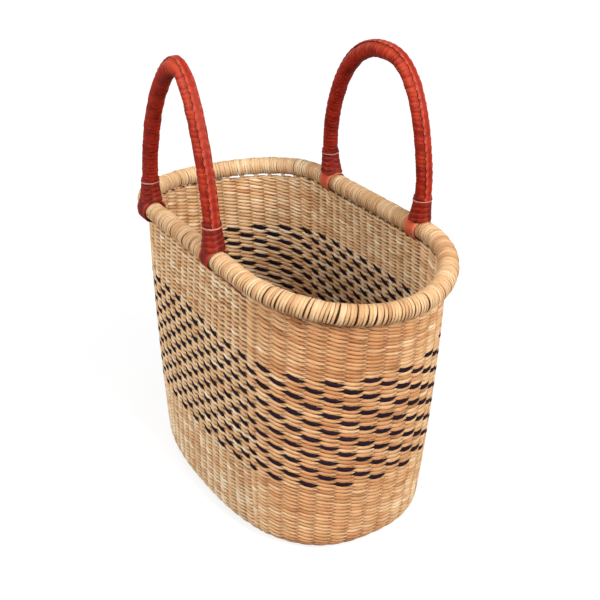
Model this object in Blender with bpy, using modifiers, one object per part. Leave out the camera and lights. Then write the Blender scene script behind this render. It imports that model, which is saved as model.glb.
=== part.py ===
"""Oval bolga basket: twined grass wall on upright stakes, straw-bound rim, two leather-wrapped handles.

Frame: metres, +Z up, origin on the floor under the middle of the base, X along the basket's length,
with the near round end at +X and the left long side at -Y.
"""
import math

import bmesh
import bpy
from mathutils import Matrix, Vector

# Fits
GAP = 0.0003
CUT_OVERRUN_LENGTH = 0.02
WELD = 0.00001

# Base: a superellipse, rounder than the rim; the side stakes share its side length
BASE_HALF_LENGTH = 0.1766
BASE_HALF_WIDTH = 0.1199
BASE_SQUARENESS = 2.5
BASE_SIDE_LENGTH = 0.208
BASE_ROUND_RADIUS = 0.0245
BASE_ROUND_STEPS = 4

# Rim: an oval ring with straight sides, longer and narrower than the base, that dips over both round ends
RIM_FLARE_LENGTH = 0.033
RIM_TUCK_WIDTH = 0.0094
RIM_STRAIGHT_LENGTH = 0.194
RIM_END_LENGTH = BASE_HALF_LENGTH + RIM_FLARE_LENGTH - RIM_STRAIGHT_LENGTH / 2
RIM_HALF_WIDTH = BASE_HALF_WIDTH - RIM_TUCK_WIDTH
RIM_HEIGHT = 0.315
RIM_END_DIP_HEIGHT = 0.0123
RIM_RADIUS = 0.0104
BINDING_THICKNESS = 0.0034
SLOT_CLEARANCE = 0.0007
RIM_END_STEPS = 18
RIM_CORE_SIDES = 8
BINDING_OUTER_STEPS = 11
BINDING_INNER_STEPS = 8

# Wall: twined weft in an outer and an inner layer, pressed in beside each of the stakes between them
WEFT_THICKNESS = 0.0021
WEAVE_GROOVE_DEPTH = 0.001
STAKE_DIAMETER = 0.0026
STAKE_SIDES = 4
STAKE_ROOT_LENGTH = 0.003
WALL_SETBACK_DEPTH = 0.0009
WALL_BULGE_DEPTH = 0.0033
PATTERN_BOTTOM_HEIGHT = 0.0918
PATTERN_TOP_HEIGHT = 0.2311
DIP_POWER = 3
SIDE_STAKES = 14
NEAR_END_STAKES = 18
FAR_END_STAKES = 19

# Handles: a twisted grass core in a wrapped leather sleeve, hung on the rim by leather loops
HANDLE_CORE_RADIUS = 0.0062
HANDLE_CORE_SIDES = 6
SLEEVE_VALLEY_RADIUS = 0.0083
SLEEVE_CREST_RADIUS = 0.0089
SLEEVE_SIDES = 8
HANDLE_CORE_POINTS = 30
ARCH_SAMPLES = 400
LEAN_POWER = 4
SPINE_RADIUS = 0.0016
SPINE_SIDES = 4
CUFF_HEIGHT = 0.038
CUFF_BOTTOM_HEIGHT = 0.0092
CUFF_THICKNESS = 0.0010
CUFF_FLARE_WIDTH = 0.0015
CUFF_STEPS = 4
CUFF_SIDES = 12
SADDLE_SIDES = 24
THREAD_RADIUS = 0.0006
THREAD_DROP_HEIGHT = 0.0035
THREAD_STEPS = 12
THREAD_SIDES = 5
LOOP_WIDTH = 0.017
LOOP_THICKNESS = 0.0014
LOOP_CLEARANCE = 0.0004
LOOP_SLACK_SHARE = 1.15
LOOP_SIDES = 16

LEFT_HANDLE = {
    "side": -1,
    "middle_offset": -0.0350,
    "foot_half_width": 0.0745,
    "belly_half_width": 0.0760,
    "belly_height": 0.0995,
    "height": 0.1785,
    "lean_length": 0.0115,
    "squareness": 1.75,
    "wraps": 27,
}
RIGHT_HANDLE = {
    "side": 1,
    "middle_offset": 0.0040,
    "foot_half_width": 0.0820,
    "belly_half_width": 0.0905,
    "belly_height": 0.0695,
    "height": 0.1733,
    "lean_length": 0.0110,
    "squareness": 2.35,
    "wraps": 27,
}

# Finishes: colour, roughness, metallic
CREASE_ANGLE = math.radians(35)
STRAW = ((0.62, 0.42, 0.21), 0.75, 0.0)
PATTERN_STRAW = ((0.46, 0.30, 0.16), 0.75, 0.0)
INNER_STRAW = ((0.56, 0.37, 0.19), 0.8, 0.0)
RIM_STRAW = ((0.66, 0.47, 0.24), 0.65, 0.0)
CORE_GRASS = ((0.50, 0.38, 0.20), 0.9, 0.0)
RED_LEATHER = ((0.42, 0.07, 0.04), 0.5, 0.0)
MAROON_LEATHER = ((0.27, 0.035, 0.03), 0.5, 0.0)
TERRACOTTA_LEATHER = ((0.60, 0.16, 0.09), 0.55, 0.0)
PALE_THREAD = ((0.70, 0.48, 0.36), 0.7, 0.0)


def clear_scene():
    """Remove every object that the open file holds."""
    for obj in list(bpy.data.objects):
        bpy.data.objects.remove(obj, do_unlink=True)


def new_collection(name):
    """Add a collection to the scene."""
    group = bpy.data.collections.new(name)
    bpy.context.scene.collection.children.link(group)
    return group


def finish(obj, look, group):
    """Give an object its own material and put it in its collection."""
    colour, roughness, metallic = look
    material = bpy.data.materials.new(obj.name)
    material.use_nodes = True
    shader = material.node_tree.nodes["Principled BSDF"]
    shader.inputs["Base Color"].default_value = (*colour, 1.0)
    shader.inputs["Roughness"].default_value = roughness
    shader.inputs["Metallic"].default_value = metallic
    obj.data.materials.clear()
    obj.data.materials.append(material)
    for owner in list(obj.users_collection):
        owner.objects.unlink(obj)
    group.objects.link(obj)
    return obj


def shade(obj):
    """Shade a mesh smooth, with its sharper edges kept crisp."""
    obj.data.shade_smooth()
    obj.data.set_sharp_from_angle(angle=CREASE_ANGLE)


def hide_cutter(obj, group):
    """Keep a cutting tool out of the model."""
    obj.hide_render = True
    obj.display_type = "WIRE"
    for owner in list(obj.users_collection):
        owner.objects.unlink(obj)
    group.objects.link(obj)


def around(radius, sides):
    """Corner radius of a polygon whose flats clear a circle of the given radius."""
    return radius / math.cos(math.pi / sides)


# The oval: stations are places round the basket, counted from the left side's far corner

def across_oval(place, half_place, half_across):
    """Half the base's size across, at a place along its length, or the other way round."""
    share = min(1.0, abs(place) / half_place) ** BASE_SQUARENESS
    return half_across * (1 - share) ** (1 / BASE_SQUARENESS)


def side_station(side, share):
    """A place on a long side: share 0 is the left side's far corner, or the right side's near corner."""
    along = side * (1 - 2 * share)
    base_x = along * BASE_SIDE_LENGTH / 2
    base_y = side * across_oval(base_x, BASE_HALF_LENGTH, BASE_HALF_WIDTH)
    return {
        "rim": Vector((along * RIM_STRAIGHT_LENGTH / 2, side * RIM_HALF_WIDTH, 0)),
        "base": Vector((base_x, base_y, 0)),
        "out": Vector((0, side, 0)),
        "dip": 0.0,
    }


def end_station(end, share):
    """A place on a round end, which is half an ellipse."""
    angle = math.radians(-90) + math.pi * share
    across = math.sin(angle) * end
    along = math.cos(angle) * end
    base_y = across * across_oval(BASE_SIDE_LENGTH / 2, BASE_HALF_LENGTH, BASE_HALF_WIDTH)
    base_x = end * across_oval(base_y, BASE_HALF_WIDTH, BASE_HALF_LENGTH)
    return {
        "rim": Vector((end * RIM_STRAIGHT_LENGTH / 2 + along * RIM_END_LENGTH, across * RIM_HALF_WIDTH, 0)),
        "base": Vector((base_x, base_y, 0)),
        "out": Vector((along, across, 0)),
        "dip": math.cos(angle) ** 2,
    }


def stations_at(share):
    """A station for each stake, all the way round, that share of the way across the stake's room."""
    stations = [side_station(-1, (i + share) / SIDE_STAKES) for i in range(SIDE_STAKES)]
    stations += [end_station(1, (i + share) / NEAR_END_STAKES) for i in range(NEAR_END_STAKES)]
    stations += [side_station(1, (i + share) / SIDE_STAKES) for i in range(SIDE_STAKES)]
    stations += [end_station(-1, (i + share) / FAR_END_STAKES) for i in range(FAR_END_STAKES)]
    return stations


def stake_stations():
    """The stakes' own stations, each in the middle of its room."""
    return stations_at(0.5)


def weave_stations():
    """Stations round the weave, with how deep it is pressed in at each: between the stakes, not over them."""
    between = [(station, WEAVE_GROOVE_DEPTH) for station in stations_at(0)]
    over = [(station, 0.0) for station in stake_stations()]
    return [place for pair in zip(between, over) for place in pair]


def rim_stations():
    """Stations along the rim: both round ends, with the straight sides between them."""
    steps = RIM_END_STEPS
    return [end_station(end, i / steps) for end in (1, -1) for i in range(steps + 1)]


def rim_point(station):
    """The rim's axis at a station."""
    return station["rim"] + Vector((0, 0, RIM_HEIGHT - RIM_END_DIP_HEIGHT * station["dip"]))


def rim_point_at(x, side):
    """The rim's axis above a given x on one side."""
    past = max(0.0, abs(x) - RIM_STRAIGHT_LENGTH / 2) / RIM_END_LENGTH
    width = RIM_HALF_WIDTH * math.sqrt(1 - past ** 2)
    return Vector((x, side * width, RIM_HEIGHT - RIM_END_DIP_HEIGHT * past ** 2))


def hinge_ends(handle):
    """The rim's axis at a handle's far and near foot, which its hinge passes through."""
    places = [handle["middle_offset"] + way * handle["foot_half_width"] for way in (-1, 1)]
    return [rim_point_at(x, handle["side"]) for x in places]


def loop_room(handle, foot):
    """How far the rim strays from the hinge's line inside a foot's loop."""
    ends = hinge_ends(handle)
    line = (ends[1] - ends[0]).normalized()
    strays = []
    for offset in (-LOOP_WIDTH / 2, LOOP_WIDTH / 2):
        away = rim_point_at(ends[foot].x + offset, handle["side"]) - ends[foot]
        forward = abs(away.dot(line))
        lean = away.length / forward - 1
        strays.append((away - line * away.dot(line)).length + RIM_RADIUS * lean)
    return max(strays) * LOOP_SLACK_SHARE


def loop_radii(handle, foot):
    """Inner and outer corner radius of a foot's loop, which turns on the rim."""
    inner = around(RIM_RADIUS + GAP + loop_room(handle, foot), LOOP_SIDES)
    return inner, inner + LOOP_THICKNESS


def wall_top():
    """Height of the top weft row at the sides, low enough for every loop to pass over it."""
    widest = max(loop_radii(handle, foot)[1] for handle in (LEFT_HANDLE, RIGHT_HANDLE) for foot in (0, 1))
    return RIM_HEIGHT - widest - LOOP_CLEARANCE


def stake_inset():
    """Depth of the stakes' axes behind the wall's outer face."""
    return WEFT_THICKNESS + GAP + STAKE_DIAMETER / 2


def wall_thickness():
    """Outer face to inner face."""
    return 2 * (WEFT_THICKNESS + GAP) + STAKE_DIAMETER


def wall_point(station, height, inset):
    """A point behind the wall's outer face, at a height measured on the long sides."""
    share = height / wall_top()
    top = station["rim"] - station["out"] * WALL_SETBACK_DEPTH
    swell = WALL_BULGE_DEPTH * 4 * share * (1 - share)
    rise = max(0.0, height - BASE_ROUND_RADIUS) / (wall_top() - BASE_ROUND_RADIUS)
    point = station["base"].lerp(top, share) + station["out"] * (swell - inset)
    point.z = height - RIM_END_DIP_HEIGHT * station["dip"] * rise ** DIP_POWER
    return point


def round_point(station, angle, inset):
    """A point on the rounding under the wall: angle 0 at its top, a quarter turn at the floor."""
    radius = BASE_ROUND_RADIUS - inset
    point = wall_point(station, BASE_ROUND_RADIUS, BASE_ROUND_RADIUS - radius * math.cos(angle))
    point.z -= radius * math.sin(angle)
    return point


def loft_closed(name, sections):
    """A mesh object whose closed sections follow each other round a closed path."""
    mesh = bmesh.new()
    rings = [[mesh.verts.new(point) for point in section] for section in sections]
    for ring, following in zip(rings, rings[1:] + rings[:1]):
        for i in range(len(ring)):
            j = (i + 1) % len(ring)
            mesh.faces.new((ring[i], following[i], following[j], ring[j]))
    data = bpy.data.meshes.new(name)
    mesh.to_mesh(data)
    mesh.free()
    obj = bpy.data.objects.new(name, data)
    shade(obj)
    return obj


def weft_layer(name, is_outer, heights, look, group):
    """A closed ring of weft, lofted from station to station, grooved on the face that shows."""
    inset = 0 if is_outer else WEFT_THICKNESS + STAKE_DIAMETER + 2 * GAP
    sections = []
    for station, groove in weave_stations():
        front = inset + (groove if is_outer else 0)
        back = inset + WEFT_THICKNESS - (0 if is_outer else groove)
        outside = [wall_point(station, height, front) for height in heights]
        inside = [wall_point(station, height, back) for height in heights]
        sections.append(outside + inside[::-1])
    return finish(loft_closed(name, sections), look, group)


def build_wall(group):
    """Outer and inner weft layers, each in a lower, a patterned and an upper zone."""
    low, high = PATTERN_BOTTOM_HEIGHT, PATTERN_TOP_HEIGHT
    zones = {
        "lower_weave": (BASE_ROUND_RADIUS + GAP, low - GAP / 2, STRAW, INNER_STRAW),
        "pattern_weave": (low + GAP / 2, high - GAP / 2, PATTERN_STRAW, PATTERN_STRAW),
        "upper_weave": (high + GAP / 2, wall_top(), STRAW, INNER_STRAW),
    }
    for zone, (bottom, top, outer_look, inner_look) in zones.items():
        weft_layer(zone + "_outer", True, (bottom, top), outer_look, group)
        weft_layer(zone + "_inner", False, (bottom, top), inner_look, group)


def build_dish():
    """The woven base, a flat oval as thick as the wall, turned up round its edge to meet the wall."""
    turns = [math.radians(90) * (1 - i / BASE_ROUND_STEPS) for i in range(BASE_ROUND_STEPS + 1)]
    mesh = bmesh.new()
    rings = []
    for station, groove in weave_stations():
        outside = [round_point(station, angle, groove * math.cos(angle)) for angle in turns]
        inner = wall_thickness()
        inside = [round_point(station, angle, inner - groove * math.cos(angle)) for angle in turns]
        rings.append([mesh.verts.new(point) for point in outside + inside[::-1]])
    for ring, following in zip(rings, rings[1:] + rings[:1]):
        for i in range(len(ring) - 1):
            mesh.faces.new((ring[i], following[i], following[i + 1], ring[i + 1]))
    mesh.faces.new([ring[0] for ring in rings[::-1]])
    mesh.faces.new([ring[-1] for ring in rings])
    data = bpy.data.meshes.new("base_with_stakes")
    mesh.to_mesh(data)
    mesh.free()
    return bpy.data.objects.new("base_with_stakes", data)


def build_base(group, cutters):
    """The base with the stakes that are laced through it and stand up from its edge."""
    base = build_dish()
    routes = [stake_route(station) for station in stake_stations()]
    stakes = to_mesh_object(new_tube("stakes", routes, STAKE_DIAMETER / 2, STAKE_SIDES), cutters)
    hide_cutter(stakes, cutters)
    combine(base, stakes, "UNION")
    shade(base)
    return finish(base, CORE_GRASS, group)


def new_tube(name, routes, radius, sides, radii=None, cyclic=False):
    """A curve object with one tube of an even number of sides for each route."""
    curve = bpy.data.curves.new(name, "CURVE")
    curve.dimensions = "3D"
    curve.bevel_depth = radius
    curve.bevel_resolution = sides // 2 - 2
    curve.use_fill_caps = not cyclic
    for route in routes:
        spline = curve.splines.new("POLY")
        spline.points.add(len(route) - 1)
        for i, point in enumerate(route):
            spline.points[i].co = (*point, 1)
            spline.points[i].radius = radii[i] / radius if radii else 1.0
        spline.use_cyclic_u = cyclic
    return bpy.data.objects.new(name, curve)


def is_under_loop(station):
    """Whether a stake's top would stand in a handle loop's way."""
    reach = (LOOP_WIDTH + STAKE_DIAMETER) / 2 + LOOP_CLEARANCE
    for handle in (LEFT_HANDLE, RIGHT_HANDLE):
        for end in hinge_ends(handle):
            if station["rim"].y * end.y > 0 and abs(station["rim"].x - end.x) < reach:
                return True
    return False


def stake_route(station):
    """A stake from inside the base's edge, up between the weft layers and into the rim's slot."""
    inset = stake_inset()
    heights = (BASE_ROUND_RADIUS, PATTERN_BOTTOM_HEIGHT, PATTERN_TOP_HEIGHT, wall_top())
    route = [wall_point(station, height, inset) for height in heights]
    route[0] += (route[0] - route[1]).normalized() * STAKE_ROOT_LENGTH
    if not is_under_loop(station):
        nearest = max(0.0, WALL_SETBACK_DEPTH + inset - STAKE_DIAMETER / 2)
        below = math.sqrt(max(0.0, rim_core_radius() ** 2 - nearest ** 2)) + GAP
        top = route[-1].copy()
        top.z = rim_point(station).z - below
        route.append(top)
    return route


def rim_core_radius():
    """The grass bundle inside the rim's binding."""
    return RIM_RADIUS - BINDING_THICKNESS - GAP


def build_rim_core(group):
    """The bundle of bent-over stake ends that stiffens the rim."""
    route = [rim_point(station) for station in rim_stations()]
    core = new_tube("rim_core", [route], rim_core_radius(), RIM_CORE_SIDES, cyclic=True)
    return finish(core, CORE_GRASS, group)


def binding_section():
    """Section of the straw binding, outward and up from the rim's axis: a C open where the stakes enter."""
    depth = WALL_SETBACK_DEPTH + stake_inset()
    reach = STAKE_DIAMETER / 2 + SLOT_CLEARANCE
    outer_lip, inner_lip = -depth + reach, -depth - reach
    arc = math.tau / (BINDING_INNER_STEPS + 1)
    bore = (rim_core_radius() + GAP) / math.cos(arc / 2)

    def lip_angle(radius, across):
        return -math.acos(max(-1.0, min(1.0, across / radius)))

    def sweep(radius, steps):
        start = lip_angle(radius, outer_lip)
        stop = lip_angle(radius, inner_lip) + math.tau
        angles = [start + (stop - start) * i / steps for i in range(steps + 1)]
        return [(radius * math.cos(angle), radius * math.sin(angle)) for angle in angles]

    return sweep(RIM_RADIUS, BINDING_OUTER_STEPS) + sweep(bore, BINDING_INNER_STEPS)[::-1]


def build_rim_binding(group):
    """The straw wound round the rim, swept along it with its slot towards the stakes."""
    section = binding_section()
    sections = []
    for station in rim_stations():
        axis = rim_point(station)
        sections.append([axis + station["out"] * across + Vector((0, 0, up)) for across, up in section])
    return finish(loft_closed("rim_binding", sections), RIM_STRAW, group)


def arch_point(handle, angle):
    """A point of a handle's centre line, which leans to the near end at its crown: angle 0 at the near foot,
    half a turn at the far one."""
    power = 2 / handle["squareness"]
    height = handle["height"] * abs(math.sin(angle)) ** power
    swell = math.sin(math.pi / 2 * min(height / handle["belly_height"], 1))
    spread = handle["foot_half_width"] + (handle["belly_half_width"] - handle["foot_half_width"]) * swell
    across = math.copysign(abs(math.cos(angle)) ** power, math.cos(angle))
    lean = handle["lean_length"] * (height / handle["height"]) ** LEAN_POWER
    return Vector((spread * across + lean, 0, height))


def along(points, distance):
    """The point that lies a distance along a chain of points."""
    for start, stop in zip(points, points[1:]):
        length = (stop - start).length
        if distance <= length:
            return start.lerp(stop, distance / length)
        distance -= length
    return points[-1].copy()


def chain_length(points):
    """Length of a chain of points."""
    return sum((stop - start).length for start, stop in zip(points, points[1:]))


def arch_route(handle, count):
    """Evenly spaced points along the whole arch, from its near foot to its far one."""
    fine = [arch_point(handle, math.pi * i / ARCH_SAMPLES) for i in range(ARCH_SAMPLES + 1)]
    length = chain_length(fine)
    return [along(fine, length * i / (count - 1)) for i in range(count)]


def trim_feet(route, height):
    """The part of an arch above a height."""
    crown = max(range(len(route)), key=lambda i: route[i].z)
    above = [point for point in route if point.z > height]
    return [at_height(route[:crown + 1], height), *above, at_height(route[crown:][::-1], height)]


def at_height(rising, height):
    """Where a rising chain of points crosses a height."""
    for start, stop in zip(rising, rising[1:]):
        if stop.z >= height:
            return start.lerp(stop, (height - start.z) / (stop.z - start.z))
    return rising[-1].copy()


def stretch_ends(route, extra):
    """The same route, run straight on at both ends."""
    first = route[0] + (route[0] - route[1]).normalized() * extra
    last = route[-1] + (route[-1] - route[-2]).normalized() * extra
    return [first] + route + [last]


def to_mesh_object(curve_object, group):
    """Turn a curve object into a welded mesh object."""
    group.objects.link(curve_object)
    bpy.context.view_layer.update()
    depsgraph = bpy.context.evaluated_depsgraph_get()
    data = bpy.data.meshes.new_from_object(curve_object.evaluated_get(depsgraph))
    name = curve_object.name
    place = curve_object.matrix_world.copy()
    bpy.data.objects.remove(curve_object, do_unlink=True)
    mesh = bmesh.new()
    mesh.from_mesh(data)
    bmesh.ops.remove_doubles(mesh, verts=mesh.verts, dist=WELD)
    mesh.to_mesh(data)
    mesh.free()
    obj = bpy.data.objects.new(name, data)
    obj.matrix_world = place
    return obj


def combine(obj, tool, operation):
    """Cut a tool's space out of an object, or join the tool to it."""
    modifier = obj.modifiers.new(operation.lower() + "_" + tool.name, "BOOLEAN")
    modifier.operation = operation
    modifier.object = tool


def hinge_frame(name, handle, group):
    """The empty on a handle's hinge: X along the hinge, Z up."""
    far, near = hinge_ends(handle)
    x_axis = (near - far).normalized()
    y_axis = Vector((0, 0, 1)).cross(x_axis).normalized()
    z_axis = x_axis.cross(y_axis)
    frame = bpy.data.objects.new(name + "_hinge", None)
    turn = Matrix((x_axis, y_axis, z_axis)).transposed().to_4x4()
    frame.matrix_world = Matrix.Translation((far + near) / 2) @ turn
    group.objects.link(frame)
    return frame


def build_saddle(name, handle, foot, cutters):
    """The cutting cylinder on the hinge that seats a leg's end on its loop."""
    bpy.ops.mesh.primitive_cylinder_add(
        vertices=SADDLE_SIDES,
        radius=around(loop_radii(handle, foot)[1] + GAP, SADDLE_SIDES),
        depth=handle["foot_half_width"],
        location=(foot_x(handle, foot), 0, 0),
        rotation=(0, math.radians(90), 0),
    )
    saddle = bpy.context.object
    saddle.name = name + "_saddle"
    hide_cutter(saddle, cutters)
    return saddle


def build_handle_core(name, route, saddles, group):
    """The twisted grass core of a handle."""
    tube = new_tube(name + "_handle_core", [route], HANDLE_CORE_RADIUS, HANDLE_CORE_SIDES)
    core = to_mesh_object(tube, group)
    for saddle in saddles:
        combine(core, saddle, "DIFFERENCE")
    shade(core)
    return finish(core, CORE_GRASS, group)


def wrap_points(handle):
    """Points along a sleeve: a crest and a valley for each wrap."""
    return 2 * handle["wraps"] + 1


def build_sleeve(name, handle, route, saddles, group, cutters):
    """The leather wound over the core, each wrap a low swelling."""
    count = wrap_points(handle)
    radii = [SLEEVE_CREST_RADIUS if i % 2 else SLEEVE_VALLEY_RADIUS for i in range(count)]
    wraps = arch_route(handle, count)
    tube = new_tube(name + "_handle_leather", [wraps], SLEEVE_CREST_RADIUS, SLEEVE_SIDES, radii)
    sleeve = to_mesh_object(tube, group)
    bored = stretch_ends(route, CUT_OVERRUN_LENGTH)
    bore_tube = new_tube(name + "_sleeve_bore", [bored], HANDLE_CORE_RADIUS + GAP, HANDLE_CORE_SIDES)
    bore = to_mesh_object(bore_tube, cutters)
    hide_cutter(bore, cutters)
    for tool in [*saddles, bore]:
        combine(sleeve, tool, "DIFFERENCE")
    shade(sleeve)
    return finish(sleeve, RED_LEATHER, group), bore


def build_spine(name, handle, group):
    """The stitched leather edge that runs along a handle's outer curve, between its cuffs."""
    route = trim_feet(arch_route(handle, wrap_points(handle)), CUFF_HEIGHT + GAP)
    offset = SLEEVE_CREST_RADIUS + GAP + SPINE_RADIUS
    spine = []
    for i, point in enumerate(route):
        tangent = route[min(i + 1, len(route) - 1)] - route[max(i - 1, 0)]
        outward = Vector((tangent.z, 0, -tangent.x)).normalized()
        spine.append(point + outward * offset)
    tube = new_tube(name + "_handle_spine", [spine], SPINE_RADIUS, SPINE_SIDES)
    return finish(tube, RED_LEATHER, group)


def foot_x(handle, foot):
    """A foot's place along the hinge: foot 0 is the far one, foot 1 the near one."""
    far, near = hinge_ends(handle)
    return (near - far).length / 2 * (1 if foot else -1)


def leg_route(handle, foot, bottom, top, count):
    """Points up one leg, from one height above the hinge to another."""
    fine = [arch_point(handle, math.pi * i / ARCH_SAMPLES) for i in range(ARCH_SAMPLES + 1)]
    rising = fine[:ARCH_SAMPLES // 2 + 1] if foot else fine[:ARCH_SAMPLES // 2 - 1:-1]
    return [at_height(rising, bottom + (top - bottom) * i / (count - 1)) for i in range(count)]


def build_cuff(name, handle, foot, saddle, group, cutters):
    """The leather cuff round a leg's end, saddled on the top of its loop."""
    bore_radius = around(SLEEVE_CREST_RADIUS + GAP, CUFF_SIDES)
    top_radius = bore_radius + CUFF_THICKNESS
    route = leg_route(handle, foot, CUFF_BOTTOM_HEIGHT, CUFF_HEIGHT, CUFF_STEPS + 1)
    radii = [top_radius + CUFF_FLARE_WIDTH * (1 - i / CUFF_STEPS) ** 2 for i in range(CUFF_STEPS + 1)]
    cuff = to_mesh_object(new_tube(name + "_cuff", [route], top_radius, CUFF_SIDES, radii), group)
    bored = stretch_ends(route, CUT_OVERRUN_LENGTH)
    bore = to_mesh_object(new_tube(name + "_cuff_bore", [bored], bore_radius, CUFF_SIDES), cutters)
    hide_cutter(bore, cutters)
    combine(cuff, saddle, "DIFFERENCE")
    combine(cuff, bore, "DIFFERENCE")
    shade(cuff)
    return finish(cuff, MAROON_LEATHER, group), bore


def build_thread(name, handle, foot, group):
    """The thread tied round a cuff near its top."""
    low, high = leg_route(handle, foot, CUFF_HEIGHT - THREAD_DROP_HEIGHT, CUFF_HEIGHT, 2)
    share = THREAD_DROP_HEIGHT / (CUFF_HEIGHT - CUFF_BOTTOM_HEIGHT)
    flare = CUFF_FLARE_WIDTH * share ** 2
    cuff_radius = around(SLEEVE_CREST_RADIUS + GAP, CUFF_SIDES) + CUFF_THICKNESS + flare
    lean = Vector((0, 0, 1)).rotation_difference(high - low)
    bpy.ops.mesh.primitive_torus_add(
        major_radius=around(cuff_radius + GAP, THREAD_STEPS) + THREAD_RADIUS,
        minor_radius=THREAD_RADIUS,
        major_segments=THREAD_STEPS,
        minor_segments=THREAD_SIDES,
        location=low,
        rotation=lean.to_euler(),
    )
    thread = bpy.context.object
    thread.name = name + "_thread"
    shade(thread)
    return finish(thread, PALE_THREAD, group)


def build_loop(name, handle, foot, look, group):
    """The leather band that goes round the rim under a leg."""
    inner, outer = loop_radii(handle, foot)
    half = LOOP_WIDTH / 2
    corners = [(outer, half), (outer, -half), (inner, -half), (inner, half)]
    profile = bmesh.new()
    points = [profile.verts.new((x, 0, z)) for x, z in corners]
    for first, second in zip(points, points[1:] + points[:1]):
        profile.edges.new((first, second))
    data = bpy.data.meshes.new(name + "_loop")
    profile.to_mesh(data)
    profile.free()
    loop = bpy.data.objects.new(name + "_loop", data)
    screw = loop.modifiers.new("turn", "SCREW")
    screw.steps = LOOP_SIDES
    screw.render_steps = LOOP_SIDES
    screw.use_merge_vertices = True
    screw.merge_threshold = WELD
    loop.location.x = foot_x(handle, foot)
    loop.rotation_euler = (0, math.radians(90), 0)
    return finish(loop, look, group)


def build_handle(side_name, handle, loop_look, group, cutters):
    """One handle with all that moves with it, hung under the empty on its hinge."""
    frame = hinge_frame(side_name, handle, group)
    feet = [side_name + "_far", side_name + "_near"]
    saddles = [build_saddle(name, handle, foot, cutters) for foot, name in enumerate(feet)]
    route = arch_route(handle, HANDLE_CORE_POINTS)
    pieces = [*saddles, *build_sleeve(side_name, handle, route, saddles, group, cutters)]
    pieces.append(build_handle_core(side_name, route, saddles, group))
    pieces.append(build_spine(side_name, handle, group))
    for foot, name in enumerate(feet):
        pieces += build_cuff(name, handle, foot, saddles[foot], group, cutters)
        pieces.append(build_thread(name, handle, foot, group))
        pieces.append(build_loop(name, handle, foot, loop_look, group))
    for piece in pieces:
        piece.parent = frame


def build():
    """Make the basket."""
    clear_scene()
    group = new_collection("bolga_basket")
    cutters = new_collection("cutters")
    build_base(group, cutters)
    build_wall(group)
    build_rim_core(group)
    build_rim_binding(group)
    build_handle("left", LEFT_HANDLE, MAROON_LEATHER, group, cutters)
    build_handle("right", RIGHT_HANDLE, TERRACOTTA_LEATHER, group, cutters)


build()
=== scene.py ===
"""Oval bolga basket: twined grass wall, straw-wound rim and two leather-wrapped handles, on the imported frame."""
import math

import bpy
import numpy as np
from mathutils import Matrix, Vector


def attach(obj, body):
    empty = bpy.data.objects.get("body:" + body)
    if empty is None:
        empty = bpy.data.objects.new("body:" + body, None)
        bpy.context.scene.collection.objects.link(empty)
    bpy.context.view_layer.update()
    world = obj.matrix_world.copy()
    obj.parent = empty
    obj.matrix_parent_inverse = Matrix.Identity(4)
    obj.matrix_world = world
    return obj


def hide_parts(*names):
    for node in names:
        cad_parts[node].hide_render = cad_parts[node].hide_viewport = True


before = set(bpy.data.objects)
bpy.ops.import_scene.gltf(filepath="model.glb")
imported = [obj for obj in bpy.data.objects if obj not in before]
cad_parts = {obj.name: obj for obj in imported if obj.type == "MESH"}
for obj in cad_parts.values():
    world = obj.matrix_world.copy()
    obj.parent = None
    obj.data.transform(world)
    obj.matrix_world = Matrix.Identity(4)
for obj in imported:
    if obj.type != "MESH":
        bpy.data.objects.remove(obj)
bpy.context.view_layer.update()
chance = np.random.default_rng(20)

# The basket's shape, in metres, as the solids have it
BASE_HALF_LENGTH = 0.1766
BASE_HALF_WIDTH = 0.1199
BASE_SQUARENESS = 2.5
BASE_SIDE_LENGTH = 0.208
BASE_ROUND_RADIUS = 0.0245
RIM_STRAIGHT_LENGTH = 0.194
RIM_END_LENGTH = 0.1126
RIM_HALF_WIDTH = 0.1105
RIM_HEIGHT = 0.315
RIM_DIP = 0.0123
RIM_RADIUS = 0.0104
RIM_CORE_RADIUS = 0.0067
WALL_TOP = 0.3007
WALL_SETBACK = 0.0009
WALL_BULGE = 0.0033
WALL_THICKNESS = 0.0074
PATTERN_BOTTOM = 0.0918
PATTERN_TOP = 0.2311
SIDE_STAKES = 14
NEAR_END_STAKES = 18
FAR_END_STAKES = 19
STAKES = 2 * SIDE_STAKES + NEAR_END_STAKES + FAR_END_STAKES

# The twined rows
UPPER_ROWS = 14
PATTERN_ROWS = 28
LOWER_ROWS = 14
ROUND_ROWS = 7
FLOOR_ROWS = 19
INNER_STAKES = 33
STITCH_STEPS = 8
STRAND_SIDES = 6
STITCH_HALF_DEPTH = 0.00115
CROSSING_HALF_DEPTH = 0.0028
STITCH_HALF_HEIGHT = 0.00265
CROSSING_HALF_HEIGHT = 0.0014
PIT_REACH_SIDE = 1.2
PIT_REACH_END = 0.74
# Middle and spread, in stakes, of a warm patch of painted shade on the near end
WARM_SHADE_STAKE = 18.5
WARM_SHADE_SPREAD = 5
TWIST_RISE = 0.0017

# The handles
LEAN_POWER = 4
SLEEVE_RADIUS = 0.0086
CUFF_HEIGHT = 0.038
LOOP_THICKNESS = 0.0014
LEFT_HANDLE = {
    "side": -1, "middle": -0.0350, "foot": 0.0745, "belly": 0.0760, "belly_height": 0.0995,
    "height": 0.1785, "squareness": 1.75, "lean": 0.0115, "loop_radii": (0.0125, 0.01096),
}
RIGHT_HANDLE = {
    "side": 1, "middle": 0.0040, "foot": 0.0820, "belly": 0.0905, "belly_height": 0.0695,
    "height": 0.1733, "squareness": 2.35, "lean": 0.0110, "loop_radii": (0.01091, 0.01091),
}


# Places round the basket

def across_oval(place, half_place, half_across):
    """Half the base's size across, at a place along it."""
    share = np.minimum(1.0, np.abs(place) / half_place) ** BASE_SQUARENESS
    return half_across * (1 - share) ** (1 / BASE_SQUARENESS)


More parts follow.
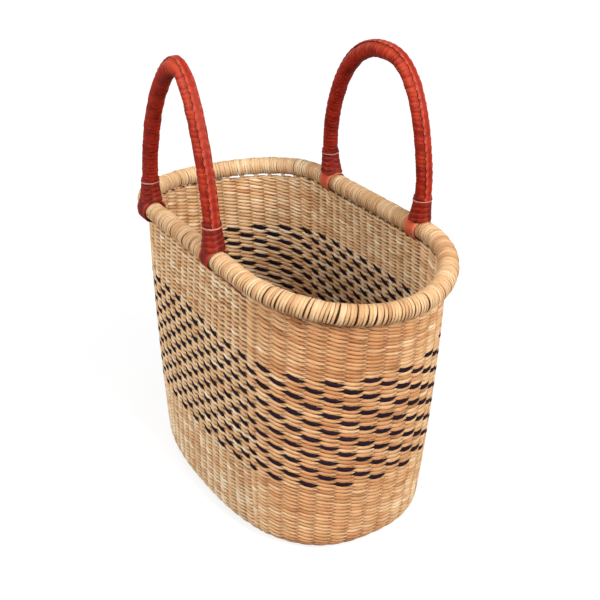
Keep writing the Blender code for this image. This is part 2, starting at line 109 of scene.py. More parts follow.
def round_basket(stake):
    """Rim, base edge, outward direction and dip at places counted in stakes from the far left corner."""
    turn = np.mod(np.asarray(stake, float) + 0.5, STAKES)
    rim, base, out = (np.zeros((len(turn), 2)) for _ in range(3))
    dip = np.zeros(len(turn))
    start = 0
    for kind, way, count in (("side", -1, SIDE_STAKES), ("end", 1, NEAR_END_STAKES),
                             ("side", 1, SIDE_STAKES), ("end", -1, FAR_END_STAKES)):
        here = (turn >= start) & (turn < start + count)
        share = (turn[here] - start) / count
        if kind == "side":
            along = way * (1 - 2 * share)
            base_x = along * BASE_SIDE_LENGTH / 2
            base_y = way * across_oval(base_x, BASE_HALF_LENGTH, BASE_HALF_WIDTH)
            rim[here] = np.stack([along * RIM_STRAIGHT_LENGTH / 2, np.full(len(share), way * RIM_HALF_WIDTH)], 1)
            out[here] = (0, way)
        else:
            angle = -math.pi / 2 + math.pi * share
            along, across = np.cos(angle) * way, np.sin(angle) * way
            base_y = across * across_oval(BASE_SIDE_LENGTH / 2, BASE_HALF_LENGTH, BASE_HALF_WIDTH)
            base_x = way * across_oval(base_y, BASE_HALF_WIDTH, BASE_HALF_LENGTH)
            rim_x = way * RIM_STRAIGHT_LENGTH / 2 + along * RIM_END_LENGTH
            rim[here] = np.stack([rim_x, across * RIM_HALF_WIDTH], 1)
            out[here] = np.stack([along, across], 1)
            dip[here] = np.cos(angle) ** 2
        base[here] = np.stack([base_x, base_y], 1)
        start += count
    return rim, base, out, dip


WALL_DEPTH = WALL_TOP - BASE_ROUND_RADIUS
ROUND_MIDDLE = BASE_ROUND_RADIUS - WALL_THICKNESS / 2
ROUND_DEPTH = ROUND_MIDDLE * math.pi / 2
FLOOR_DEPTH = BASE_HALF_WIDTH - BASE_ROUND_RADIUS
CENTRE_SHARE = 0.55


def shell(stake, depth, inset):
    """Points and outward directions of the basket's shell: depth runs down from the wall's top and on
    under the base to its middle, inset is behind the outer face."""
    rim, base, out, dip = round_basket(stake)
    depth, inset = np.broadcast_to(depth, len(out)), np.broadcast_to(inset, len(out))
    height = np.maximum(WALL_TOP - depth, BASE_ROUND_RADIUS)
    angle = np.clip((depth - WALL_DEPTH) / ROUND_MIDDLE, 0, math.pi / 2)
    inward = np.clip((depth - WALL_DEPTH - ROUND_DEPTH) / FLOOR_DEPTH, 0, 1)
    turned = BASE_ROUND_RADIUS - inset
    back = np.where(angle > 0, BASE_ROUND_RADIUS - turned * np.cos(angle), inset)
    share = height / WALL_TOP
    swell = WALL_BULGE * 4 * share * (1 - share)
    top = rim - out * WALL_SETBACK
    flat = base * (1 - share[:, None]) + top * share[:, None] + out * (swell - back)[:, None]
    middle = np.stack([np.clip(base[:, 0], -BASE_SIDE_LENGTH / 2, BASE_SIDE_LENGTH / 2) * CENTRE_SHARE,
                       np.zeros(len(out))], 1)
    flat = flat * (1 - inward[:, None]) + middle * inward[:, None]
    rise = (height - BASE_ROUND_RADIUS) / WALL_DEPTH
    level = height - RIM_DIP * dip * rise ** 3 - turned * np.sin(angle)
    facing = np.concatenate([out * np.cos(angle)[:, None], -np.sin(angle)[:, None]], 1)
    return np.concatenate([flat, level[:, None]], 1), facing


# Meshes made by sweeping a section along a path

class Weaver:
    """Collects swept strands and makes one mesh of them."""

    def __init__(self):
        self.points, self.faces, self.uvs, self.tones, self.count = [], [], [], [], 0

    def sweep(self, path, facing, half_out, half_side, tones, closed=False, sides=STRAND_SIDES):
        """A strand along a path, its section an oval with one half size outward and one sideways."""
        ahead = np.roll(path, -1, 0) - np.roll(path, 1, 0)
        if not closed:
            ahead[0], ahead[-1] = path[1] - path[0], path[-1] - path[-2]
        ahead /= np.linalg.norm(ahead, axis=1)[:, None]
        side = np.cross(ahead, facing)
        side /= np.linalg.norm(side, axis=1)[:, None]
        outward = np.cross(side, ahead)
        half_out, half_side = (np.broadcast_to(half, len(path))[:, None, None] for half in (half_out, half_side))
        around = (np.arange(sides) + 0.5) * math.tau / sides
        ring = (path[:, None] + outward[:, None] * half_out * np.cos(around)[None, :, None]
                + side[:, None] * half_side * np.sin(around)[None, :, None])
        self.lay(ring, tones, closed)

    def lay(self, ring, tones, closed=False, lengths=None):
        """Rings of points joined into a tube; an open one is capped."""
        count, sides = ring.shape[:2]
        step = np.linalg.norm(np.diff(ring.mean(1), axis=0, append=ring[:1].mean(1)), axis=1)
        length = np.concatenate([[0], np.cumsum(step)])
        rows = np.arange(count if closed else count - 1)
        i, k = (a.ravel() for a in np.meshgrid(rows, np.arange(sides), indexing="ij"))
        j, m = (i + 1) % count, (k + 1) % sides
        quads = np.stack([i * sides + k, i * sides + m, j * sides + m, j * sides + k], 1) + self.count
        self.faces += quads.tolist()
        u = np.stack([length[i], length[i], length[i + 1], length[i + 1]], 1)
        v = np.stack([k, k + 1, k + 1, k], 1) / sides
        self.uvs.append(np.stack([u, v], 2).reshape(-1, 2))
        if not closed:
            first = self.count + np.arange(sides)
            self.faces.append(first[::-1].tolist())
            self.faces.append((first + (count - 1) * sides).tolist())
            self.uvs.append(np.zeros((2 * sides, 2)))
        self.points.append(ring.reshape(-1, 3))
        tones = np.asarray(tones, float)
        if tones.ndim < 3:
            tones = np.broadcast_to(tones, (count, 3))[:, None]
        self.tones.append(np.broadcast_to(tones, (count, sides, 3)).reshape(-1, 3))
        self.count += count * sides

    def make(self, name, look):
        """The finished mesh object."""
        data = bpy.data.meshes.new(name)
        data.from_pydata(np.concatenate(self.points).tolist(), [], self.faces)
        uv = data.uv_layers.new(name="path")
        uv.uv.foreach_set("vector", np.concatenate(self.uvs).astype(np.float32).ravel())
        tone = data.color_attributes.new("tone", "FLOAT_COLOR", "POINT")
        rgba = np.concatenate([np.concatenate(self.tones), np.ones((self.count, 1))], 1)
        tone.data.foreach_set("color", rgba.astype(np.float32).ravel())
        data.shade_smooth()
        data.materials.append(look)
        obj = bpy.data.objects.new(name, data)
        bpy.context.scene.collection.objects.link(obj)
        return obj


def wander(count, every, spread):
    """Values that drift at random, with a fresh one about every few places."""
    knots = max(2, int(count / every) + 2)
    return np.interp(np.linspace(0, knots - 1, count), np.arange(knots), chance.normal(0, spread, knots))


# Looks

def tree_of(name):
    """A new material with its node tree and shader."""
    look = bpy.data.materials.new(name)
    look.use_nodes = True
    return look, look.node_tree, look.node_tree.nodes["Principled BSDF"]


def add(tree, kind, inputs=None, **settings):
    """A node with its settings; an input is a value or another node's socket."""
    made = tree.nodes.new("ShaderNode" + kind)
    for key, value in settings.items():
        setattr(made, key, value)
    for key, value in (inputs or {}).items():
        if isinstance(value, bpy.types.NodeSocket):
            tree.links.new(value, made.inputs[key])
        else:
            made.inputs[key].default_value = value
    return made


def ramp(tree, factor, stops):
    """A colour ramp's colour for a factor."""
    made = add(tree, "ValToRGB", {"Fac": factor})
    band = made.color_ramp
    while len(band.elements) < len(stops):
        band.elements.new(0.5)
    for element, (place, colour) in zip(band.elements, stops):
        element.position, element.color = place, (*colour, 1)
    return made.outputs["Color"]


def mix(tree, factor, first, second, blend="MIX"):
    """Two colours mixed."""
    made = add(tree, "Mix", {0: factor}, data_type="RGBA", blend_type=blend)
    for socket, value in zip((made.inputs[6], made.inputs[7]), (first, second)):
        if isinstance(value, bpy.types.NodeSocket):
            tree.links.new(value, socket)
        else:
            socket.default_value = (*value, 1)
    return made.outputs[2]


def reach(tree, value, low, high, to_low=0.0, to_high=1.0):
    """A value carried from one range to another."""
    inputs = {"Value": value, "From Min": low, "From Max": high, "To Min": to_low, "To Max": to_high}
    return add(tree, "MapRange", inputs).outputs["Result"]


def grass_look(name, stops, gap, rough=(0.5, 0.75), ruddy=(0.56, 0.23, 0.085), sheen=0.2):
    """Split grass: fibres along each strand, tones that change from strand to strand, painted shade where it tucks in.
    """
    look, tree, shader = tree_of(name)
    tone = add(tree, "Attribute", attribute_name="tone").outputs["Color"]
    parts = add(tree, "SeparateColor", {"Color": tone}).outputs
    path = add(tree, "UVMap", uv_map="path").outputs["UV"]
    stretched = add(tree, "Mapping", {"Vector": path, "Scale": (110, 16, 1)}).outputs["Vector"]
    fibre = add(tree, "TexNoise", {"Vector": stretched, "Scale": 1.0, "Detail": 3.0, "Roughness": 0.6}).outputs["Fac"]
    object_place = add(tree, "TexCoord").outputs["Object"]
    blotch = add(tree, "TexNoise", {"Vector": object_place, "Scale": 42.0, "Detail": 2.0}).outputs["Fac"]
    shifted = add(tree, "Math", {0: parts["Green"], 1: reach(tree, blotch, 0.3, 0.7, -0.035, 0.035)}, operation="ADD")
    # The green channel picks the tone: random from strand to strand, with painted light and shade added on the weave.
    colour = ramp(tree, shifted.outputs[0], stops)
    # The blue channel adds a ruddy tint: random, and on the weave also a warm patch of painted shade.
    colour = mix(tree, reach(tree, parts["Blue"], 0, 1, 0, 0.6), colour, ruddy)
    streak = ramp(tree, fibre, [(0.28, (0.55, 0.44, 0.33)), (0.5, (0.95, 0.93, 0.90)), (0.72, (1.0, 1.0, 1.0))])
    colour = mix(tree, 0.9, colour, streak, "MULTIPLY")
    # The red channel is painted shade, mixed towards the gap colour in gaps and pits, along edges and deep in the wall.
    tucked = reach(tree, parts["Red"], 0.12, 0.85, 0.0, 0.95)
    colour = mix(tree, tucked, colour, gap)
    tree.links.new(colour, shader.inputs["Base Color"])
    tree.links.new(reach(tree, fibre, 0.3, 0.7, rough[1], rough[0]), shader.inputs["Roughness"])
    bump = add(tree, "Bump", {"Height": fibre, "Strength": 0.55, "Distance": 0.0006})
    tree.links.new(bump.outputs["Normal"], shader.inputs["Normal"])
    shader.inputs["Specular IOR Level"].default_value = sheen
    return look


def leather_look(name, deep, body, wear_and_painted_light, rough=(0.38, 0.62), wear_and_light_range=(0.62, 1.0)):
    """Hand-dyed goat leather: blotched dye, painted shade in creases, crests paler from wear and painted light, fine
    grain.
    """
    look, tree, shader = tree_of(name)
    tone = add(tree, "Attribute", attribute_name="tone").outputs["Color"]
    parts = add(tree, "SeparateColor", {"Color": tone}).outputs
    place = add(tree, "TexCoord").outputs["Object"]
    blotch = add(tree, "TexNoise", {"Vector": place, "Scale": 70.0, "Detail": 4.0, "Roughness": 0.6}).outputs["Fac"]
    grain = add(tree, "TexVoronoi", {"Vector": place, "Scale": 1100.0}).outputs["Distance"]
    crinkle = add(tree, "TexNoise", {"Vector": place, "Scale": 420.0, "Detail": 3.0}).outputs["Fac"]
    dye = reach(tree, blotch, 0.32, 0.68)
    colour = mix(tree, dye, deep, body)
    # The green channel: wear and painted light, towards the paler colour.
    colour = mix(tree, reach(tree, parts["Green"], wear_and_light_range[0], wear_and_light_range[1], 0.0, 0.9), colour, wear_and_painted_light)
    # The red channel: painted shade in creases, grooves and hollows, towards near-black.
    colour = mix(tree, reach(tree, parts["Red"], 0.0, 1.0, 0.0, 0.85), colour, tuple(c * 0.18 for c in deep))
    scuff = reach(tree, crinkle, 0.62, 0.75, 0.0, 0.35)
    colour = mix(tree, scuff, colour, tuple(min(1.0, c * 1.5 + 0.04) for c in wear_and_painted_light))
    tree.links.new(colour, shader.inputs["Base Color"])
    tree.links.new(reach(tree, crinkle, 0.3, 0.7, rough[0], rough[1]), shader.inputs["Roughness"])
    height = add(tree, "Math", {0: grain, 1: crinkle}, operation="ADD").outputs[0]
    bump = add(tree, "Bump", {"Height": height, "Strength": 0.4, "Distance": 0.0003})
    tree.links.new(bump.outputs["Normal"], shader.inputs["Normal"])
    shader.inputs["Specular IOR Level"].default_value = 0.15
    return look


def thread_look(name, dark, pale):
    """Twisted thong: slanting plies in two tones."""
    look, tree, shader = tree_of(name)
    path = add(tree, "UVMap", uv_map="path").outputs["UV"]
    slanted = add(tree, "Mapping", {"Vector": path, "Scale": (700, 2, 1)}).outputs["Vector"]
    ply = add(tree, "TexWave", {"Vector": slanted, "Scale": 0.5, "Distortion": 1.5}, bands_direction="DIAGONAL")
    tree.links.new(mix(tree, ply.outputs["Fac"], dark, pale), shader.inputs["Base Color"])
    tree.links.new(reach(tree, ply.outputs["Fac"], 0, 1, 0.75, 0.55), shader.inputs["Roughness"])
    bump = add(tree, "Bump", {"Height": ply.outputs["Fac"], "Strength": 0.5, "Distance": 0.0002})
    tree.links.new(bump.outputs["Normal"], shader.inputs["Normal"])
    return look


def core_look(name, dark, pale):
    """The grass inside the rim and the handles, seen only in the gaps between the turns."""
    look, tree, shader = tree_of(name)
    place_in = add(tree, "TexCoord").outputs["Object"]
    strands = add(tree, "TexNoise", {"Vector": place_in, "Scale": 260.0, "Detail": 3.0}).outputs["Fac"]
    spread = reach(tree, strands, 0.35, 0.65)
    tree.links.new(mix(tree, spread, dark, pale), shader.inputs["Base Color"])
    tree.links.new(reach(tree, strands, 0.3, 0.7, 0.8, 0.6), shader.inputs["Roughness"])
    bump = add(tree, "Bump", {"Height": strands, "Strength": 0.5, "Distance": 0.0006})
    tree.links.new(bump.outputs["Normal"], shader.inputs["Normal"])
    return look


STRAW_TONES = [(0.0, (0.27, 0.11, 0.040)), (0.28, (0.49, 0.25, 0.11)), (0.5, (0.66, 0.405, 0.205)),
               (0.75, (0.78, 0.55, 0.325)), (1.0, (0.87, 0.74, 0.54))]
RIM_TONES = [(0.0, (0.27, 0.115, 0.040)), (0.3, (0.45, 0.235, 0.11)), (0.55, (0.58, 0.355, 0.18)),
             (0.8, (0.68, 0.465, 0.27)), (1.0, (0.78, 0.62, 0.41))]
BLACK_TONES = [(0.0, (0.004, 0.002, 0.005)), (0.6, (0.009, 0.005, 0.010)), (1.0, (0.028, 0.014, 0.026))]
# The colours that each straw's painted shade mixes towards
GAP_PAINTED_SHADE = (0.045, 0.014, 0.006)
straw = grass_look("natural_straw", STRAW_TONES, GAP_PAINTED_SHADE)
black_straw = grass_look("black_dyed_straw", BLACK_TONES, (0.006, 0.004, 0.005), rough=(0.55, 0.8),
                         ruddy=(0.03, 0.010, 0.02), sheen=0.08)
rim_straw = grass_look("rim_straw", RIM_TONES, (0.16, 0.07, 0.025), rough=(0.42, 0.68), ruddy=(0.60, 0.30, 0.12))
grass = grass_look("bundled_grass", STRAW_TONES, GAP_PAINTED_SHADE)
core_grass = core_look("core_grass", (0.13, 0.055, 0.022), (0.30, 0.15, 0.065))
red_leather = leather_look("red_leather", (0.15, 0.005, 0.002), (0.31, 0.017, 0.004), (0.45, 0.046, 0.015))
flap_leather = leather_look("flap_leather", (0.22, 0.011, 0.004), (0.36, 0.023, 0.007), (0.46, 0.055, 0.022))
maroon_leather = leather_look("maroon_leather", (0.08, 0.004, 0.002), (0.20, 0.009, 0.003), (0.37, 0.032, 0.013))
terracotta_leather = leather_look("terracotta_leather", (0.38, 0.052, 0.021), (0.52, 0.10, 0.044), (0.63, 0.18, 0.10))
pale_thread = thread_look("pale_thread", (0.28, 0.07, 0.045), (0.60, 0.31, 0.23))


# The twined wall and base

DRAWN_STAKES = (-0.5, 4, 7, 10, 13, 17, 20, 21.5, 25, 34, 44, 48.5, 52, 56, 64.5)
DRAWN_HEIGHTS = (0.0015, 0.004, 0.003, -0.001, 0, 0.0015, 0.0025, 0.0065, 0.008, 0.0105, 0.0105, 0.005, 0.0015,
                 0, 0.0015)


def draw_up(stake, depth):
    """How far the hand has drawn a row up at each stake, and how much that spreads the rows there."""
    lift = np.interp(np.mod(stake + 0.5, STAKES) - 0.5, DRAWN_STAKES, DRAWN_HEIGHTS)
    top, bottom = WALL_TOP - PATTERN_TOP, WALL_TOP - PATTERN_BOTTOM
    if not 0 < depth < bottom:
        return 0 * lift, 1 + 0 * lift
    if depth < top:
        return lift * depth / top, 1 - lift / top
    return lift * (bottom - depth) / (bottom - top), 1 + lift / (bottom - top)


def row_strand(weaver, row_depth, start, stop, phase, tone_level, share=1.0, closed=False, tall=1.0, plump=1.0,
               point=1.0):
    """One strand of a twined row: over a stake on the outside, down through the gap, over the next inside.
    The share of the stakes that it passes between is 1, and less where stakes have run out. A plump strand
    keeps its width further towards the gaps and stands a little prouder. A point below 1 narrows it there."""
    stitches = round((stop - start) * share)
    count = stitches * STITCH_STEPS + (0 if closed else 1)
    stake = start + (stop - start) * np.arange(count) / (stitches * STITCH_STEPS)
    turn = math.pi * (stake * share + phase)
    snug = 1.06 if row_depth > FLOOR_START else 1.0
    knots = np.arange(count) / STITCH_STEPS
    each = np.arange(stitches + 2)
    fat = np.interp(knots, each, chance.normal(1, 0.07, len(each)))
    sway = np.interp(knots, each, chance.normal(0, 0.00022, len(each)))
    if closed:
        ends = np.clip(np.minimum(knots, stitches - knots), 0, 1)
        fat, sway = 1 + (fat - 1) * ends, sway * ends
    drawn, spread = draw_up(stake, row_depth)
    tall = tall * spread
    bulge = np.abs(np.cos(turn))
    reach_out = np.sign(np.cos(turn)) * bulge ** (1.6 / plump)
    crown = WALL_THICKNESS / 2 - STITCH_HALF_DEPTH + 0.0010 * (plump - 1)
    inset = WALL_THICKNESS / 2 - crown * reach_out
    rise = TWIST_RISE * tall * np.sin(turn)
    path, _ = shell(stake, row_depth - drawn + rise + sway, inset)
    _, facing = shell(stake, np.full(count, row_depth), inset)
    narrow = CROSSING_HALF_HEIGHT * point
    half_height = (narrow + (STITCH_HALF_HEIGHT - narrow) * bulge ** (0.9 / plump)) * fat * snug * tall
    if WALL_DEPTH < row_depth < FLOOR_START:
        half_height = half_height * (BASE_ROUND_RADIUS - inset) / ROUND_MIDDLE
    on_end = np.clip(np.abs(facing[:, 0]) / 0.3, 0, 1)
    crossing_depth = CROSSING_HALF_DEPTH + 0.0005 * on_end
    half_depth = crossing_depth + (STITCH_HALF_DEPTH - crossing_depth) * bulge ** 2.2
    around = (np.arange(STRAND_SIDES) + 0.5) * math.tau / STRAND_SIDES
    behind = inset[:, None] - half_depth[:, None] * np.cos(around)[None, :]
    buried = np.minimum(behind, WALL_THICKNESS - behind)
    from_row = np.abs(half_height[:, None] * np.sin(around)[None, :] + rise[:, None])
    # Painted shade for the tone's red channel: in the pits at the gaps between rows, deep in the wall, and along the
    # strand's edges.
    pit_reach = PIT_REACH_SIDE + (PIT_REACH_END - PIT_REACH_SIDE) * on_end
    pit_painted_shade = np.clip((pit_reach - bulge) / 0.34, 0, 1)[:, None] * np.clip((from_row - 0.0011) / 0.0007, 0, 1)
    deep_painted_shade = np.clip((buried - 0.0020) / 0.0018, 0, 1) * 0.75
    # Painted shade along the strand's two edges, where it meets the rows above and below.
    seam = (0.25 + 0.37 * on_end[:, None]) * (np.abs(np.sin(around)) > 0.9)[None, :]
    inside = inset > WALL_THICKNESS / 2
    pit_painted_shade = pit_painted_shade * (1 - (0.1 + 0.35 * inside) * on_end)[:, None]
    painted_shade = np.maximum(np.maximum(deep_painted_shade, seam), pit_painted_shade * np.clip((buried - 0.0002) / 0.0007, 0, 1))
    level = tone_level + wander(count, STITCH_STEPS * 4, 0.08) + wander(count, STITCH_STEPS * 0.9, 0.13)
    # A warm patch of painted shade on the near end.
    warm_painted_shade = np.exp(-((np.mod(stake + 0.5, STAKES) - 0.5 - WARM_SHADE_STAKE) / WARM_SHADE_SPREAD) ** 2)
    outside = inset < WALL_THICKNESS / 2
    # Painted light and shade: each stitch lighter at its crest and darker towards the crossings; on the outside darker
    # on the near end and in the warm patch.
    level = level + 0.12 * (bulge - 0.6) - outside * (0.08 * np.clip(facing[:, 0], 0, 1) + 0.24 * warm_painted_shade)
    # Painted light: the inside lighter, and the sides lighter than the ends.
    level = level + (0.04 + 0.10 * np.abs(facing[:, 1])) * ~outside + 0.12 * np.abs(facing[:, 1]) * outside
    level = np.broadcast_to(np.clip(level, 0, 1)[:, None], painted_shade.shape)
    # The ruddy tint: random from stitch to stitch, stronger in the warm patch of painted shade.
    ruddy = np.interp(knots, each, np.clip(chance.normal(-0.1, 0.55, len(each)), 0, 1))
    ruddy = np.clip(ruddy + 0.55 * warm_painted_shade, 0, 1)
    tones = np.stack([painted_shade, level, np.broadcast_to(ruddy[:, None], painted_shade.shape)], 2)
    weaver.sweep(path, facing, half_depth, half_height, tones, closed)


def plain_rows(name, depths, tone_level, nodes, share=1.0):
    """Rows of two natural strands that are one: it goes round twice, through an odd count of gaps each time."""
    weaver = Weaver()
    for depth in depths:
        row_strand(weaver, depth, 0, 2 * STAKES, 0, tone_level + chance.normal(0, 0.05), share, closed=True)
    return place(weaver.make(name, straw), "basket", "straw", nodes)


def place(piece, body, slot, nodes=()):
    """Hang a piece on its body and put it in place of the solids it stands for. Its slot is not used."""
    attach(piece, body)
    if nodes:
        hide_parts(*nodes)
    return piece


def row_depths(top, bottom, rows):
    """Middles of evenly spaced rows."""
    return top + (bottom - top) * (np.arange(rows) + 0.5) / rows


PATTERN_DEPTHS = row_depths(WALL_TOP - PATTERN_TOP, WALL_TOP - PATTERN_BOTTOM, PATTERN_ROWS)
FLOOR_START = WALL_DEPTH + ROUND_DEPTH
FLOOR_HALFWAY = 10
PATTERN_SEAM = SIDE_STAKES + NEAR_END_STAKES - 0.5
BORDER_DEPTH = -0.0023
BORDER_SPANS = ((-0.68, 8.65), (10.05, 31.6), (33.0, 43.43), (44.83, 47.8), (52.9, 63.3))
THIN_BORDER_SPANS = ((8.4, 10.3), (31.4, 33.2), (43.2, 45.05), (47.6, 53.1), (63.1, 64.5))


def build_weave():
    """Every twined row, from the rim down and in to the middle of the base."""
    plain_rows("upper_weave", row_depths(0, WALL_TOP - PATTERN_TOP, UPPER_ROWS), 0.50,
               ("upper_weave_outer", "upper_weave_inner"))
    border = Weaver()
    for start, stop in BORDER_SPANS:
        for phase in (0, 1):
            row_strand(border, BORDER_DEPTH, start, stop, phase, 0.5, tall=0.84)
    for start, stop in THIN_BORDER_SPANS:
        for phase in (0, 1):
            row_strand(border, BORDER_DEPTH / 2, start, stop, phase, 0.5, tall=0.42)
    place(border.make("border_under_rim", straw), "basket", "straw")
    natural, black = Weaver(), Weaver()
    for j, depth in enumerate(PATTERN_DEPTHS[::2]):
        level = 0.55 + chance.normal(0, 0.05)
        row_strand(black, depth, PATTERN_SEAM, PATTERN_SEAM + STAKES, j % 2, 0.45, tall=1.16, plump=1.12, point=0.4)
        row_strand(natural, depth, PATTERN_SEAM, PATTERN_SEAM + STAKES, j % 2 + 1, level)
    place(natural.make("pattern_weave", straw), "basket", "pattern_straw",
          ("pattern_weave_outer", "pattern_weave_inner"))
    place(black.make("pattern_black_strands", black_straw), "basket", "pattern_straw")
    plain_rows("pattern_weave_between", PATTERN_DEPTHS[1::2], 0.56, ())
    lower = row_depths(WALL_TOP - PATTERN_BOTTOM, WALL_DEPTH, LOWER_ROWS)
    plain_rows("lower_weave", lower, 0.62, ("lower_weave_outer", "lower_weave_inner"))
    plain_rows("base_edge_weave", row_depths(WALL_DEPTH, FLOOR_START, ROUND_ROWS), 0.58, ("base_with_stakes",))
    floor = row_depths(FLOOR_START, FLOOR_START + FLOOR_DEPTH, FLOOR_ROWS)
    plain_rows("base_outer_weave", floor[:FLOOR_HALFWAY], 0.55, ())
    plain_rows("base_inner_weave", floor[FLOOR_HALFWAY:], 0.52, (), share=INNER_STAKES / STAKES)


def rim_at(x, side):
    """The rim's axis above a given x on one side."""
    past = max(0.0, abs(x) - RIM_STRAIGHT_LENGTH / 2) / RIM_END_LENGTH
    return Vector((x, side * RIM_HALF_WIDTH * math.sqrt(1 - past ** 2), RIM_HEIGHT - RIM_DIP * past ** 2))


def is_under_loop(rim):
    """Whether a stake's top would stand in a handle loop's way."""
    for handle in (LEFT_HANDLE, RIGHT_HANDLE):
        for foot in (-1, 1):
            if rim[1] * handle["side"] > 0 and abs(rim[0] - handle["middle"] - foot * handle["foot"]) < 0.0102:
                return True
    return False


def build_stakes():
    """The stakes: pairs of stalks that stand between the weft's passes and run up into the rim, with a little painted
    shade, and flat stalks in painted shade in the gaps between them.
    """
    weaver = Weaver()
    for stake in range(STAKES):
        rim, _, out, dip = (part[0] for part in round_basket([stake]))
        depths = np.concatenate([[FLOOR_START + 0.02], np.linspace(FLOOR_START, 0, 16)])
        across = np.array([-out[1], out[0], 0])
        route, _ = shell(np.full(len(depths), stake), depths, WALL_THICKNESS / 2)
        if not is_under_loop(rim):
            top = route[-1].copy()
            top[2] = RIM_HEIGHT - RIM_DIP * dip - 0.0058
            route = np.concatenate([route, [top]])
        for way in (-1, 1):
            shift = across * way * 0.0008
            facing = np.broadcast_to(np.array([out[0], out[1], 0.001]), route.shape)
            # A little painted shade on each stake.
            tones = np.array([0.25, 0.62 + chance.normal(0, 0.12), 0])
            half_side = np.full(len(route), 0.00085)
            if len(route) > len(depths):
                half_side[-2:] = (0.0012, 0.0018)
                shift = np.outer(np.append(np.ones(len(depths)), 1.9), shift)
            weaver.sweep(route + shift, facing, 0.00095, half_side, tones)
    place(weaver.make("stakes", grass), "basket", "core_grass")
    # Flat stalks in the gaps between the stakes, coloured in full painted shade so that the gaps read dark and no light
    # shows through the wall.
    painted_shade_filler = Weaver()
    for stake in range(STAKES):
        depths = np.linspace(FLOOR_START, 0.001, 24)
        route, facing = shell(np.full(len(depths), stake + 0.5), depths, WALL_THICKNESS / 2)
        before, _ = shell(np.full(len(depths), stake), depths, WALL_THICKNESS / 2)
        half_side = np.linalg.norm(route - before, axis=1) * 1.45
        painted_shade_filler.sweep(route, facing, 0.0004, half_side, (1.0, 0.3, 0), sides=4)
    return place(painted_shade_filler.make("inner_stalks_painted_shade", grass), "basket", "core_grass")


# The rim

def rim_axis(count):
    """Evenly spaced points of the rim's axis, with the directions outward and along it."""
    stake = np.arange(4000) * STAKES / 4000 - 0.5
    rim, _, _, dip = round_basket(stake)
    fine = np.concatenate([rim, (RIM_HEIGHT - RIM_DIP * dip)[:, None]], 1)
    closed = np.concatenate([fine, fine[:1]])
    length = np.concatenate([[0], np.cumsum(np.linalg.norm(np.diff(closed, axis=0), axis=1))])
    wanted = np.arange(count) * length[-1] / count
    axis = np.stack([np.interp(wanted, length, closed[:, k]) for k in range(3)], 1)
    along = np.roll(axis, -1, 0) - np.roll(axis, 1, 0)
    along /= np.linalg.norm(along, axis=1)[:, None]
    out = np.cross(along, (0, 0, 1))
    out /= np.linalg.norm(out, axis=1)[:, None]
    return axis, along, out, length[-1]


WINDING_PITCH = 0.0034
WINDING_STEPS = 20
WINDING_SIDES = 12


def build_rim():
    """Straw wound round the rim, turn beside turn, loosely in bunches, with painted shade between the turns, deepest on
    the underside.
    """
    _, _, _, length = rim_axis(8)
    turns = int(length / WINDING_PITCH)
    count = turns * WINDING_STEPS
    axis, along, out, _ = rim_axis(count)
    turn = np.arange(count) / WINDING_STEPS
    angle = math.tau * turn
    each = np.arange(turns + 1)
    by_turn = lambda spread: np.interp(turn, each, np.append(v := chance.normal(0, spread, turns), v[0]))
    bunch = np.interp(turn, each, np.resize(np.repeat(chance.normal(0, 1, turns // 3 + 1), 3), turns + 1))
    radius = RIM_RADIUS - 0.0010 + np.clip(by_turn(0.00028) + 0.00010 * bunch, -0.0006, 0.00035)
    sway = wander(count, 7, 0.00022)
    near_half = 0.45 + 0.55 * np.clip(0.5 + 4 * axis[:, 0], 0, 1)
    lean = 0.0011 * np.sin(angle) + by_turn(0.0005) * near_half + sway + 0.00025 * bunch * np.cos(angle) * near_half
    up = np.cross(out, along)
    up *= np.sign(up[:, 2])[:, None]
    ray = out * np.cos(angle)[:, None] + up * np.sin(angle)[:, None]
    path = axis + ray * radius[:, None] + along * lean[:, None]
    low = np.clip(1.2 * (0.7 - np.sin(angle)), 0, 1)
    half_width = 0.00172 * (1 + np.clip(by_turn(0.10), -0.10, 0.14)) * (1 + wander(count, 6, 0.05))
    half_width *= 1 - near_half * low * np.clip(0.06 + by_turn(0.08), 0, 0.26)
    half_width *= 1.07 - 0.07 * low
    ends = np.clip(np.minimum(turn, turns - turn), 0, 1)
    level = 0.56 + by_turn(0.11) + 0.04 * bunch + wander(count, 12, 0.10)
    level = level + 0.14 * np.clip(-axis[:, 0] / RIM_END_LENGTH, 0, 1)
    # Painted shade at the sides of each turn, where it meets the next, deeper on the rim's underside.
    around = (np.arange(WINDING_SIDES) + 0.5) * math.tau / WINDING_SIDES
    painted_shade = np.clip(np.abs(np.sin(around)) - 0.62, 0, 1)[None, :] * np.clip(2.6 + by_turn(0.6), 1.2, 3.4)[:, None]
    painted_shade = painted_shade * (0.45 + 0.65 * low)[:, None]
    level = np.broadcast_to(np.clip(level, 0, 1)[:, None], painted_shade.shape)
    ruddy = np.broadcast_to(np.clip(by_turn(0.35) - 0.35, 0, 1)[:, None], painted_shade.shape)
    tones = np.stack([painted_shade * ends[:, None], level, ruddy], 2)
    weaver = Weaver()
    weaver.sweep(path, ray, 0.0011, half_width, tones, sides=WINDING_SIDES)
    return place(weaver.make("rim_winding", rim_straw), "basket", "rim_straw", ("rim_binding",))


# The handles

def hinge_matrix(handle):
    """The frame on a handle's hinge: X along the hinge from the far foot to the near one, Z up."""
    far, near = (rim_at(handle["middle"] + way * handle["foot"], handle["side"]) for way in (-1, 1))
    x_axis = (near - far).normalized()
    y_axis = Vector((0, 0, 1)).cross(x_axis).normalized()
    turn = Matrix((x_axis, y_axis, x_axis.cross(y_axis))).transposed().to_4x4()
    return np.array(Matrix.Translation((far + near) / 2) @ turn), (near - far).length / 2


